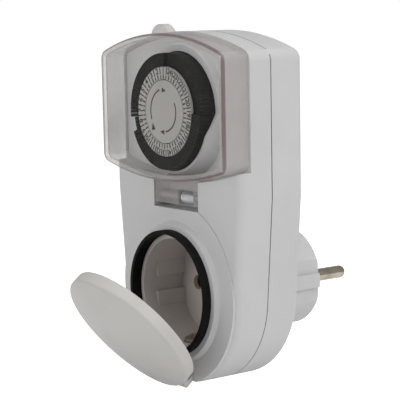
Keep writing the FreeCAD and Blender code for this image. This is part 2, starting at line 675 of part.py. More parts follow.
def socket_pieces():
    """The socket cup, its seal, contacts and earth bracket."""
    cup = rod_y(0, 0, CUP_R, COLLAR_Y + CUP_SET_BACK, CUP_BACK_Y)
    room = rod_y(0, 0, RECESS_R, COLLAR_Y - 1, RECESS_FLOOR_Y)
    ledges = []
    for side in (-1, 1):
        x0, x1 = sorted((side * RECESS_LEDGE_X, side * (RECESS_R + 1)))
        for z0, z1 in ((-RECESS_LEDGE_HALF, -RECESS_GROOVE_HALF), (RECESS_GROOVE_HALF, RECESS_LEDGE_HALF)):
            ledges.append(box(x0, x1, COLLAR_Y + RECESS_LEDGE_START, RECESS_FLOOR_Y, z0, z1))
    for ledge in ledges:
        room = room.cut(ledge)
    cup = cup.cut(room)
    for side in (-1, 1):
        cup = cup.cut(rod_y(side * PIN_X, 0, SOCKET_HOLE_R, COLLAR_Y, CUP_BACK_Y + 1))
        z0, z1 = sorted((side * (RECESS_R - 3.4), side * (CUP_R + 1)))
        cup = cup.cut(box(-EARTH_HALF - 0.4, EARTH_HALF + 0.4, EARTH_FRONT_Y - 0.6, CUP_BACK_Y + 1, z0, z1))
    save(cup, "socket_cup")
    seal = tube_y(0, 0, SEAL_OUTER_R, SEAL_INNER_R, COLLAR_Y - SEAL_PROUD, SEAL_BACK_Y)
    save(seal, "socket_seal")
    for side, name in ((-1, "live"), (1, "neutral")):
        x = side * PIN_X
        sleeve = tube_y(x, 0, SLEEVE_R, PIN_R + 0.05, SLEEVE_START_Y, SLEEVE_END_Y)
        slot = box(x - 0.3, x + 0.3, SLEEVE_START_Y - 1, SLEEVE_START_Y + 12, 0, SLEEVE_R + 1)
        save(sleeve.cut(slot), name + "_contact")
        pin = rod_y(x, 0, PIN_R, 0, PIN_LENGTH)
        tip = [e for e in pin.Edges if abs(e.BoundBox.YMin - PIN_LENGTH) < 1e-4]
        pin = pin.makeFillet(PIN_R * 0.8, tip)
        root = rod_y(x, 0, PIN_ROOT_R, -PIN_ROOT, 0)
        stub = rod_y(x, 0, PIN_STUB_R, -PIN_ROOT - PIN_STUB, -PIN_ROOT)
        pin = fuse([pin, root, stub])
        save(pin, name + "_pin")


EARTH_FRONT_Y = COLLAR_Y + 6.7
EARTH_BACK_Y = CUP_BACK_Y + 0.3


def earth_bracket():
    """One bent strip that joins the socket's earth clips to the plug's earth faces."""
    pieces = [box(-EARTH_HALF, EARTH_HALF, EARTH_BACK_Y, EARTH_BACK_Y + EARTH_T, -CUP_R + 0.6, CUP_R - 0.6)]
    for side in (-1, 1):
        bow_r = 14.0
        middle_y = (EARTH_FRONT_Y + RECESS_FLOOR_Y) / 2
        inner_z = RECESS_R - 2.6
        bow = Part.makeCylinder(bow_r, 2 * EARTH_HALF,
            V(-EARTH_HALF, middle_y, side * (inner_z + bow_r)), ALONG_X)
        bow = bow.cut(Part.makeCylinder(bow_r - EARTH_T, 2 * EARTH_HALF + 2,
            V(-EARTH_HALF - 1, middle_y, side * (inner_z + bow_r)), ALONG_X))
        z0, z1 = sorted((side * (inner_z - 1), side * (CUP_R - 0.6)))
        bow = bow.common(box(-EARTH_HALF, EARTH_HALF, EARTH_FRONT_Y, RECESS_FLOOR_Y, z0, z1))
        z0, z1 = sorted((side * (inner_z + 0.4), side * (CUP_R - 0.6)))
        leg = box(-EARTH_HALF, EARTH_HALF, RECESS_FLOOR_Y - 1.2, EARTH_BACK_Y + EARTH_T, z0, z1)
        z0, z1 = sorted((side * EARTH_PLUG_Z, side * (EARTH_PLUG_Z + EARTH_T)))
        face = box(-EARTH_HALF, EARTH_HALF, EARTH_BACK_Y, -2.0, z0, z1)
        pieces += [bow, leg, face]
    solid = pieces[0].multiFuse(pieces[1:]).removeSplitter()
    save(solid, "earth_bracket")


def conductors():
    """The strips that join the pins, the contacts and the switch."""
    low = -STRIP_HALF
    high = STRIP_HALF
    level = STRIP_LEVEL_Y
    run_z = 38.0
    up_x = SWITCH_LEFT + 2.2
    hole = rod_y(-PIN_X, 0, PIN_STUB_R + 0.02, TAB_Y - 1, TAB_Y + STRIP_T + 1)
    tab = box(-PIN_X - STRIP_HALF, -STRIP_X, TAB_Y, TAB_Y + STRIP_T, low, high).cut(hole)
    web = box(-STRIP_X - STRIP_T, -STRIP_X, level, TAB_Y + STRIP_T, low, high)
    rise = box(-STRIP_X - STRIP_T, -STRIP_X + 1.4, level, level + STRIP_T, low, run_z + 2 * STRIP_HALF)
    run = box(up_x, -STRIP_X + 1.4, level, level + STRIP_T, run_z, run_z + 2 * STRIP_HALF)
    up = box(up_x, up_x + 2 * STRIP_HALF, level, level + STRIP_T, run_z, SWITCH_LOW - 3.0)
    save(fuse([tab, web, rise, run, up]), "live_bar")

    level = SLEEVE_START_Y + 0.3
    ring = tube_y(-PIN_X, 0, SLEEVE_R + 1.6, SLEEVE_R + 0.02, level, level + STRIP_T)
    ring = ring.cut(box(-EARTH_HALF - 2.4, 0, level - 1, level + 2, -10, 10))
    rise = box(-PIN_X - STRIP_HALF, -PIN_X + STRIP_HALF, level, level + STRIP_T, SLEEVE_R + 0.6, 33.0)
    run = box(SWITCH_LEFT + 2.2, -PIN_X + STRIP_HALF, level, level + STRIP_T, 29.0, 33.0)
    up = box(SWITCH_LEFT + 2.2, SWITCH_LEFT + 2.2 + 2 * STRIP_HALF, level, level + STRIP_T, 29.0,
        SWITCH_LOW - 3.0)
    save(fuse([ring, rise, run, up]), "switched_bar")

    hole = rod_y(PIN_X, 0, PIN_STUB_R + 0.02, TAB_Y - 1, TAB_Y + STRIP_T + 1)
    tab = box(STRIP_X, PIN_X + STRIP_HALF, TAB_Y, TAB_Y + STRIP_T, low, high).cut(hole)
    web = box(STRIP_X, STRIP_X + STRIP_T, level, TAB_Y + STRIP_T, low, high)
    ring = tube_y(PIN_X, 0, SLEEVE_R + 1.6, SLEEVE_R + 0.02, level, level + STRIP_T)
    ring = ring.cut(box(0, STRIP_X, level - 1, level + 2, -10, 10))
    rise = box(PIN_X - STRIP_HALF, PIN_X + STRIP_HALF, level, level + STRIP_T, SLEEVE_R + 0.6, 36.0)
    save(fuse([tab, web, ring, rise]), "neutral_bar")


def flap():
    """The domed disc that closes the socket, made closed and then opened on its hinge."""
    front_y = FLAP_BACK_Y - FLAP_RIM
    disc = rod_y(0, FLAP_CENTRE_Z, FLAP_R, front_y, FLAP_BACK_Y)
    dome_r = (FLAP_R ** 2 + FLAP_DOME ** 2) / (2 * FLAP_DOME)
    ball = Part.makeSphere(dome_r, V(0, front_y - FLAP_DOME + dome_r, FLAP_CENTRE_Z))
    cap = ball.common(rod_y(0, FLAP_CENTRE_Z, FLAP_R, front_y - FLAP_DOME - 1, front_y + 0.5))
    solid = disc.fuse(cap).removeSplitter()
    edges = []
    for edge in solid.Edges:
        b = edge.BoundBox
        if b.XLength > FLAP_R * 1.9 and b.YLength < 0.01 and b.YMax < front_y + 0.6:
            edges.append(edge)
    solid = solid.makeFillet(FLAP_EDGE_R, edges)
    inner = rod_y(0, FLAP_CENTRE_Z, FLAP_R - 1.6, front_y + 1.4, FLAP_BACK_Y + 1)
    dome_in = Part.makeSphere(dome_r - 1.8, V(0, front_y - FLAP_DOME + dome_r, FLAP_CENTRE_Z))
    dome_in = dome_in.common(rod_y(0, FLAP_CENTRE_Z, FLAP_R - 2.4, front_y - FLAP_DOME, front_y + 1.6))
    solid = solid.cut(inner.fuse(dome_in))
    axis_y = FLAP_HINGE_Y + 1.2
    barrel = rod_x(axis_y, FLAP_HINGE_Z, FLAP_BARREL_R, -FLAP_BARREL_HALF, FLAP_BARREL_HALF)
    web_y = FLAP_BACK_Y - FLAP_ARM_T
    arm = box(-FLAP_BARREL_HALF, FLAP_BARREL_HALF, web_y, axis_y, FLAP_HINGE_Z,
        FLAP_HINGE_Z + FLAP_BARREL_R)
    arm = arm.cut(box(-40, 40, FLAP_BACK_Y, axis_y, FLAP_HINGE_Z + FLAP_BARREL_R - 0.6, 0))
    arm = arm.fuse(box(-FLAP_BARREL_HALF, FLAP_BARREL_HALF, web_y, FLAP_BACK_Y, FLAP_HINGE_Z,
        FLAP_HINGE_Z + 5))
    arm = arm.common(tube_y(0, FLAP_CENTRE_Z, 60, FLAP_R - 2.0, front_y - 5, PARTING_Y))
    solid = fuse([solid, barrel.fuse(arm)])
    solid = solid.cut(rod_x(axis_y, FLAP_HINGE_Z, FLAP_PIN_R + RUN_GAP, -40, 40))
    solid.rotate(V(0, axis_y, FLAP_HINGE_Z), ALONG_X, FLAP_OPEN)
    save(solid, "socket_flap")
    pin_half = FLAP_BARREL_HALF + LOOSE_GAP + HINGE_PIN_SEAT - 0.1
    save(rod_x(axis_y, FLAP_HINGE_Z, FLAP_PIN_R - 0.005, -pin_half, pin_half), "flap_hinge_pin")


def tappet(index, pushed):
    """One of the small black keys that set the on times."""
    step = 360.0 / TAPPET_COUNT
    middle = FIRST_TAPPET_ANGLE + step * (index + 0.5)
    gap = math.degrees(TAPPET_GAP / TAPPET_OUTER_R)
    block = sector(TAPPET_INNER_R, TAPPET_OUTER_R, middle - step / 2 + gap / 2,
        middle + step / 2 - gap / 2, DIAL_Y, TAPPET_BACK_Y)
    tail = box(TAIL_INNER_R, TAIL_OUTER_R, TAPPET_BACK_Y - 0.5, TAIL_END_Y, DIAL_Z - TAIL_T / 2,
        DIAL_Z + TAIL_T / 2)
    tail.rotate(V(0, 0, DIAL_Z), ALONG_Y, -middle)
    solid = block.fuse(tail).removeSplitter()
    if pushed:
        solid.translate(V(0, TAPPET_TRAVEL, 0))
    return solid


def dial_pieces():
    """The turning dial, its number ring, its keys, and the fixed disc and axle at its middle."""
    standing = []
    pressed = []
    for index in range(TAPPET_COUNT):
        if index in SLIDING_TAPPETS:
            number = SLIDING_TAPPETS.index(index) + 1
            save(tappet(index, True), "tappet_%d" % number)
        elif index < TAPPETS_SET:
            pressed.append(tappet(index, True))
        else:
            standing.append(tappet(index, False))
    save(Part.makeCompound(standing), "tappets_off")
    save(Part.makeCompound(pressed), "tappets_on")

    ring_back = DIAL_Y + HOUR_RING_T
    save(tube_y(0, DIAL_Z, HOUR_RING_R, HOUR_RING_INNER_R, DIAL_Y, ring_back), "hour_ring")
    wall = tube_y(0, DIAL_Z, HOUR_RING_R, HOUR_RING_R - DRUM_WALL, ring_back, DIAL_GEAR_Y)
    ledge = tube_y(0, DIAL_Z, HOUR_RING_R - 1, HOUR_RING_INNER_R + 0.2, ring_back, ring_back + 1.2)
    web = rod_y(0, DIAL_Z, HOUR_RING_R - 1, DIAL_GEAR_Y - DRUM_WEB, DIAL_GEAR_Y)
    hub = rod_y(0, DIAL_Z, HUB_R, ring_back + 2.4, DIAL_GEAR_Y)
    drum = fuse([wall, ledge, web, hub]).cut(rod_y(0, DIAL_Z, AXLE_R + RUN_GAP, DIAL_Y, 0))
    save(drum, "dial_drum")

    wheel = gear(DIAL_TEETH, 0, DIAL_Z, 0, DIAL_GEAR_Y, DIAL_GEAR_Y + GEAR_T)
    wheel = wheel.cut(rod_y(0, DIAL_Z, AXLE_R + RUN_GAP, DIAL_Y, 0))
    hours = TAPPET_COUNT // TAPPETS_PER_HOUR
    span = 360.0 / hours
    rib = math.degrees(0.18 / TAIL_INNER_R)
    slots = []
    for hour in range(hours):
        slots.append(sector(TAIL_INNER_R - 0.2, TAIL_OUTER_R + 0.15, hour * span + rib,
            (hour + 1) * span - rib, DIAL_GEAR_Y - 1, DIAL_GEAR_Y + GEAR_T + 1))
    save(wheel.cut(Part.makeCompound(slots)), "dial_gear")

    axle = rod_y(0, DIAL_Z, AXLE_R - 0.005, ring_back - 0.1, PLATE_Y)
    save(axle, "dial_axle")
    save(rod_y(0, DIAL_Z, DISC_R, DIAL_Y, ring_back - 0.1), "centre_disc")


def gear_train():
    """The wheels between the motor and the dial, with the plate and axles that carry them."""
    bore = TRAIN_AXLE_R + RUN_GAP
    pinion = gear(PINION_TEETH, WHEEL_2_X, WHEEL_2_Z, TURN_2, DIAL_GEAR_Y, LEVEL_2_Y + 0.2)
    wheel = gear(WHEEL_TEETH, WHEEL_2_X, WHEEL_2_Z, TURN_2, LEVEL_2_Y, LEVEL_2_Y + GEAR_T)
    hole = rod_y(WHEEL_2_X, WHEEL_2_Z, bore, DIAL_GEAR_Y - 1, LEVEL_2_Y + GEAR_T + 1)
    save(wheel.fuse(pinion).cut(hole), "second_wheel")
    pinion = gear(PINION_TEETH, WHEEL_1_X, WHEEL_1_Z, TURN_1, LEVEL_2_Y, LEVEL_3_Y + 0.2)
    wheel = gear(WHEEL_TEETH, WHEEL_1_X, WHEEL_1_Z, TURN_1, LEVEL_3_Y, LEVEL_3_Y + GEAR_T)
    hole = rod_y(WHEEL_1_X, WHEEL_1_Z, bore, LEVEL_2_Y - 1, LEVEL_3_Y + GEAR_T + 1)
    save(wheel.fuse(pinion).cut(hole), "first_wheel")
    axle_r = TRAIN_AXLE_R - 0.005
    axles = [
        rod_y(WHEEL_2_X, WHEEL_2_Z, axle_r, DIAL_GEAR_Y - 0.2, PLATE_BACK_Y),
        rod_y(WHEEL_1_X, WHEEL_1_Z, axle_r, LEVEL_2_Y - 0.2, PLATE_BACK_Y),
    ]
    save(axles[0], "second_axle")
    save(axles[1], "first_axle")

    base = box(-25.0, 27.2, PLATE_Y, PLATE_BACK_Y, 38.4, 86.8)
    corners = [e for e in base.Edges if abs(e.BoundBox.YLength - PLATE_T) < 1e-4
        and e.BoundBox.XLength < 1e-4]
    base = base.makeFillet(4.0, corners)
    ears = []
    for z0 in (DIAL_Z - LEVER_HALF - 1.8, DIAL_Z + LEVER_HALF + 0.3):
        ears.append(box(LEVER_PIVOT_X - 1.4, LEVER_PIVOT_X + 2.0, LEVER_PIVOT_Y - 1.4, PLATE_Y + 0.2,
            z0, z0 + 1.5))
    base = fuse([base] + ears)
    base = base.cut(rod_z(LEVER_PIVOT_X, LEVER_PIVOT_Y, LEVER_PIN_R, DIAL_Z - 5, DIAL_Z + 5))
    base = base.cut(rod_y(WHEEL_2_X, WHEEL_2_Z, TRAIN_AXLE_R, PLATE_Y - 1, PLATE_BACK_Y + 1))
    base = base.cut(rod_y(WHEEL_1_X, WHEEL_1_Z, TRAIN_AXLE_R, PLATE_Y - 1, PLATE_BACK_Y + 1))
    base = base.cut(rod_y(MOTOR_X, MOTOR_Z, SHAFT_R + 0.5, PLATE_Y - 1, PLATE_BACK_Y + 1))
    base = base.cut(box(LEVER_PIVOT_X - 3.0, LEVER_PIVOT_X - 1.4, PLATE_Y - 1, PLATE_BACK_Y + 1,
        DIAL_Z - 6, DIAL_Z + 6))
    for x, z in PLATE_SCREWS:
        base = base.cut(rod_y(x, z, PLATE_SCREW_R + 0.15, PLATE_Y - 1, PLATE_BACK_Y + 1))
    save(base, "movement_plate")
    screws = []
    for x, z in PLATE_SCREWS:
        screws.append(screw(x, z, PLATE_SCREW_R - 0.02, PLATE_SCREW_HEAD_R, 1.4, PLATE_BACK_Y,
            PLATE_Y - 5.0))
    save(Part.makeCompound(screws), "movement_screws")


def motor():
    """The small synchronous motor: can, coil, and rotor with its pinion."""
    can = rod_y(MOTOR_X, MOTOR_Z, MOTOR_R, PLATE_BACK_Y, MOTOR_BACK_Y)
    can = can.cut(rod_y(MOTOR_X, MOTOR_Z, MOTOR_R - MOTOR_WALL, PLATE_BACK_Y + MOTOR_WALL,
        MOTOR_BACK_Y - MOTOR_WALL))
    can = can.cut(rod_y(MOTOR_X, MOTOR_Z, SHAFT_R + RUN_GAP, PLATE_BACK_Y - 1, PLATE_BACK_Y + 2))
    save(can, "motor_can")
    front = PLATE_BACK_Y + MOTOR_WALL
    back = MOTOR_BACK_Y - MOTOR_WALL
    save(tube_y(MOTOR_X, MOTOR_Z, COIL_OUTER_R, COIL_INNER_R, front, back), "motor_coil")
    pinion = gear(PINION_TEETH, MOTOR_X, MOTOR_Z, TURN_0, LEVEL_3_Y, LEVEL_3_Y + GEAR_T)
    shaft = rod_y(MOTOR_X, MOTOR_Z, SHAFT_R, LEVEL_3_Y, back - 0.4)
    magnet = rod_y(MOTOR_X, MOTOR_Z, ROTOR_R, front + 0.5, back - 0.5)
    save(fuse([pinion.fuse(shaft), magnet]), "motor_rotor")


def switch():
    """The trip lever under the keys and the snap switch that it works."""
    arm = box(PLUNGER_X - 1.6, -TAIL_INNER_R, LEVER_Y, LEVER_Y + LEVER_T, DIAL_Z - LEVER_HALF,
        DIAL_Z + LEVER_HALF)
    boss = rod_z(LEVER_PIVOT_X, LEVER_PIVOT_Y, LEVER_BOSS_R, DIAL_Z - LEVER_HALF, DIAL_Z + LEVER_HALF)
    nose_x = -(TAIL_INNER_R + TAIL_OUTER_R) / 2
    nose = rod_z(nose_x, LEVER_Y + 0.4, 1.0, DIAL_Z - LEVER_HALF, DIAL_Z + LEVER_HALF)
    nose = nose.cut(box(-40, 0, LEVER_Y + LEVER_T, 0, 0, 100))
    lever = fuse([arm, boss, nose]).cut(rod_z(LEVER_PIVOT_X, LEVER_PIVOT_Y, LEVER_PIN_R + RUN_GAP, 0, 100))
    save(lever, "trip_lever")
    save(rod_z(LEVER_PIVOT_X, LEVER_PIVOT_Y, LEVER_PIN_R - 0.005, DIAL_Z - 4.2, DIAL_Z + 4.2), "lever_pin")
    case_back = BACK_INNER_Y - LOOSE_GAP
    case = box(SWITCH_LEFT, SWITCH_RIGHT, SWITCH_Y, case_back, SWITCH_LOW, SWITCH_HIGH)
    plunger_y = LEVER_Y + LEVER_T + 0.1
    case = case.cut(rod_y(PLUNGER_X, DIAL_Z, PLUNGER_R + RUN_GAP, SWITCH_Y - 1, SWITCH_Y + 5))
    save(case, "switch_case")
    save(rod_y(PLUNGER_X, DIAL_Z, PLUNGER_R, plunger_y, SWITCH_Y + 3.6), "switch_plunger")
    blade_x = SWITCH_LEFT + 2.2
    blades = []
    for level in (STRIP_LEVEL_Y - STRIP_T, SLEEVE_START_Y + 0.3 - STRIP_T):
        blades.append(box(blade_x, blade_x + 2 * STRIP_HALF, level, level + STRIP_T, SWITCH_LOW - 6.0,
            SWITCH_LOW))
    save(Part.makeCompound(blades), "switch_terminals")


front_housing()
rear_housing()
housing_pieces()
dial_cover()
cover_spring()
socket_pieces()
earth_bracket()
conductors()
flap()
dial_pieces()
gear_train()
motor()
switch()
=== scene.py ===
"""Looks of a plug-in timer switch: shells, clear lid, day dial, socket, flap and plug.

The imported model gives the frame: metres, +Z up, +Y out of the back along the plug pins.
"""
import json
import logging
import math
from dataclasses import dataclass, field
from enum import Enum

import bpy
from mathutils import Matrix, Vector


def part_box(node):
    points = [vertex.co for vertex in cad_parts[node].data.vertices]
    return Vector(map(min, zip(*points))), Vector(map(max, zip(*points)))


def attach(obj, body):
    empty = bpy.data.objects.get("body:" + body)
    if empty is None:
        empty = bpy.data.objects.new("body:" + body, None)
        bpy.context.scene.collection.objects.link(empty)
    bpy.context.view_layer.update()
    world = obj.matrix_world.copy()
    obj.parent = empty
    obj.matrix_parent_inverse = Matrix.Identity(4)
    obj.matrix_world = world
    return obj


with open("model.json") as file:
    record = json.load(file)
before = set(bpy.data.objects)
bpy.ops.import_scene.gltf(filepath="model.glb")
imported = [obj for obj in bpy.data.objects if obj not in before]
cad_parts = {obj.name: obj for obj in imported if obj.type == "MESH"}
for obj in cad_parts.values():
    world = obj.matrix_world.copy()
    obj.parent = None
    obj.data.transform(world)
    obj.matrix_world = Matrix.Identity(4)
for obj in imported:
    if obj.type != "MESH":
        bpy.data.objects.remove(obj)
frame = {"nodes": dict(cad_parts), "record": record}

log = logging.getLogger("timer_switch")
MM = 0.001
FLOOR_DROP = 10.0 * MM  # leaves room for the flap when it hangs wide open
SMOOTH_ANGLE = 32.0  # degrees; a sharper edge stays an edge
SEAM_START = 0.02 * MM  # from the front of the rear shell
SEAM_END = 0.34 * MM
UNIT_TRIANGLE_SIDE = 1.732
UNIT_TRIANGLE_HEIGHT = 1.5
Triple = tuple[float, float, float]
Colour = Triple


class Ink(Enum):
    """The two inks printed on the dial."""

    NUMERAL = "numeral"
    ARROW = "arrow"


class NodeNet:
    """A material's node tree with short calls for the nodes that the finishes share."""

    def __init__(self, name: str) -> None:
        """Start a material.

        Args:
            name: the finish's name.
        """
        self.material = bpy.data.materials.new(name)
        self.material.use_nodes = True
        self.tree = self.material.node_tree
        self.shader = self.tree.nodes["Principled BSDF"]
        self.place = self.tree.nodes.new("ShaderNodeTexCoord").outputs["Object"]

    def link(self, source: bpy.types.NodeSocket, target: bpy.types.NodeSocket) -> None:
        """Join two sockets."""
        self.tree.links.new(source, target)

    def noise(self, scale: float, detail: float = 3.0, stretch: Triple = (1, 1, 1)) -> bpy.types.NodeSocket:
        """Noise on the object's own coordinates.

        Args:
            scale: turns per metre.
            detail: octaves.
            stretch: factors along X, Y and Z.

        Returns:
            The noise's value.
        """
        mapping = self.tree.nodes.new("ShaderNodeMapping")
        mapping.inputs["Scale"].default_value = stretch
        self.link(self.place, mapping.inputs["Vector"])
        node = self.tree.nodes.new("ShaderNodeTexNoise")
        node.inputs["Scale"].default_value = scale
        node.inputs["Detail"].default_value = detail
        self.link(mapping.outputs["Vector"], node.inputs["Vector"])
        return node.outputs["Fac"]

    def ramp(self, value: bpy.types.NodeSocket, low: float, high: float,
             start: float = 0.3, end: float = 0.7) -> bpy.types.NodeSocket:
        """Map a value's middle range to another range.

        Args:
            value: the socket to map.
            low: the result at start.
            high: the result at end.
            start: where the range begins.
            end: where the range ends.

        Returns:
            The mapped value.
        """
        node = self.tree.nodes.new("ShaderNodeMapRange")
        for key, number in (("From Min", start), ("From Max", end), ("To Min", low), ("To Max", high)):
            node.inputs[key].default_value = number
        self.link(value, node.inputs["Value"])
        return node.outputs["Result"]

    def mix(self, factor: bpy.types.NodeSocket, first: Colour, second: Colour) -> bpy.types.NodeSocket:
        """Mix two colours.

        Args:
            factor: 0 gives the first and 1 the second.
            first: linear colour.
            second: linear colour.

        Returns:
            The mixed colour.
        """
        node = self.tree.nodes.new("ShaderNodeMix")
        node.data_type = "RGBA"
        node.inputs["A"].default_value = (*first, 1)
        node.inputs["B"].default_value = (*second, 1)
        self.link(factor, node.inputs["Factor"])
        return node.outputs["Result"]

    def maths(self, operation: str, first: bpy.types.NodeSocket,
              second: bpy.types.NodeSocket | float = 0.0) -> bpy.types.NodeSocket:
        """A sum of two values.

        Args:
            operation: the Math node's name for it.
            first: the first value.
            second: the second value, a socket or a number.

        Returns:
            The result.
        """
        node = self.tree.nodes.new("ShaderNodeMath")
        node.operation = operation
        self.link(first, node.inputs[0])
        if isinstance(second, (int, float)):
            node.inputs[1].default_value = second
        else:
            self.link(second, node.inputs[1])
        return node.outputs["Value"]

    def bump(self, height: bpy.types.NodeSocket, depth: float) -> None:
        """Roughen the surface.

        Args:
            height: the height map.
            depth: its depth in metres.
        """
        node = self.tree.nodes.new("ShaderNodeBump")
        node.inputs["Strength"].default_value = 1.0
        node.inputs["Distance"].default_value = depth
        self.link(height, node.inputs["Height"])
        self.link(node.outputs["Normal"], self.shader.inputs["Normal"])


@dataclass(frozen=True)
class MouldedPlastic:
    """Injection-moulded plastic with a fine spark-eroded grain and faint handling marks."""

    name: str
    colour: Colour
    shade: Colour
    rough: float = 0.42
    grain: float = 2600.0
    depth: float = 0.000012
    specular: float = 0.4

    def material(self) -> bpy.types.Material:
        """Returns the finish as a material."""
        net = NodeNet(self.name)
        cloud = net.ramp(net.noise(38.0, 4.0), 0.0, 1.0, 0.35, 0.68)
        net.link(net.mix(cloud, self.colour, self.shade), net.shader.inputs["Base Color"])
        fine = net.noise(self.grain, 2.0)
        smear = net.noise(90.0, 5.0, (1.0, 1.0, 0.4))
        net.link(net.ramp(smear, self.rough - 0.05, self.rough + 0.07), net.shader.inputs["Roughness"])
        net.bump(fine, self.depth)
        net.shader.inputs["Specular IOR Level"].default_value = self.specular
        return net.material


@dataclass(frozen=True)
class PlatedMetal:
    """Metal with drawing lines along one axis and a little tarnish."""

    name: str
    colour: Colour
    tarnish: Colour
    rough: float = 0.22
    lines: Triple = (1.0, 0.06, 1.0)
    depth: float = 0.000006

    def material(self) -> bpy.types.Material:
        """Returns the finish as a material."""
        net = NodeNet(self.name)
        patch = net.ramp(net.noise(160.0, 4.0), 0.0, 1.0, 0.42, 0.72)
        net.link(net.mix(patch, self.colour, self.tarnish), net.shader.inputs["Base Color"])
        scratch = net.noise(2400.0, 2.0, self.lines)
        net.link(net.ramp(scratch, self.rough - 0.06, self.rough + 0.1), net.shader.inputs["Roughness"])
        net.bump(scratch, self.depth)
        net.shader.inputs["Metallic"].default_value = 1.0
        return net.material


@dataclass(frozen=True)
class SoftRubber:
    """Black moulded rubber with a dusty bloom."""

    name: str
    colour: Colour = (0.003, 0.003, 0.003)
    bloom: Colour = (0.008, 0.008, 0.008)

    def material(self) -> bpy.types.Material:
        """Returns the finish as a material."""
        net = NodeNet(self.name)
        dust = net.ramp(net.noise(220.0, 5.0), 0.0, 1.0, 0.45, 0.8)
        net.link(net.mix(dust, self.colour, self.bloom), net.shader.inputs["Base Color"])
        net.link(net.ramp(net.noise(500.0), 0.55, 0.72), net.shader.inputs["Roughness"])
        net.bump(net.noise(1500.0), 0.00002)
        net.shader.inputs["Specular IOR Level"].default_value = 0.12
        return net.material


@dataclass(frozen=True)
class CoilWinding:
    """Enamelled copper wire wound round the motor's bobbin, with painted shade between the turns and
    painted light on their crowns.
    """

    name: str

    def material(self) -> bpy.types.Material:
        """Returns the finish as a material."""
        net = NodeNet(self.name)
        wave = net.tree.nodes.new("ShaderNodeTexWave")
        wave.bands_direction = "Y"
        wave.inputs["Scale"].default_value = 900.0
        wave.inputs["Distortion"].default_value = 1.2
        net.link(net.place, wave.inputs["Vector"])
        # painted shade and light: the wave that raises the turns also makes the grooves between them darker
        # and their crowns lighter
        copper = net.mix(wave.outputs["Fac"], (0.36, 0.12, 0.04), (0.62, 0.27, 0.10))
        net.link(copper, net.shader.inputs["Base Color"])
        net.bump(wave.outputs["Fac"], 0.00008)
        net.shader.inputs["Metallic"].default_value = 0.7
        net.shader.inputs["Roughness"].default_value = 0.34
        return net.material


@dataclass(frozen=True)
class PrintedInk:
    """Dark ink with soft breaks where it was printed thin."""

    name: str
    colour: Colour = (0.022, 0.021, 0.02)

    def material(self) -> bpy.types.Material:
        """Returns the finish as a material."""
        net = NodeNet(self.name)
        thin = net.ramp(net.noise(1800.0, 3.0), 0.0, 1.0, 0.5, 0.85)
        faded = tuple(c + 0.05 for c in self.colour)
        net.link(net.mix(thin, self.colour, faded), net.shader.inputs["Base Color"])
        net.shader.inputs["Roughness"].default_value = 0.55
        return net.material


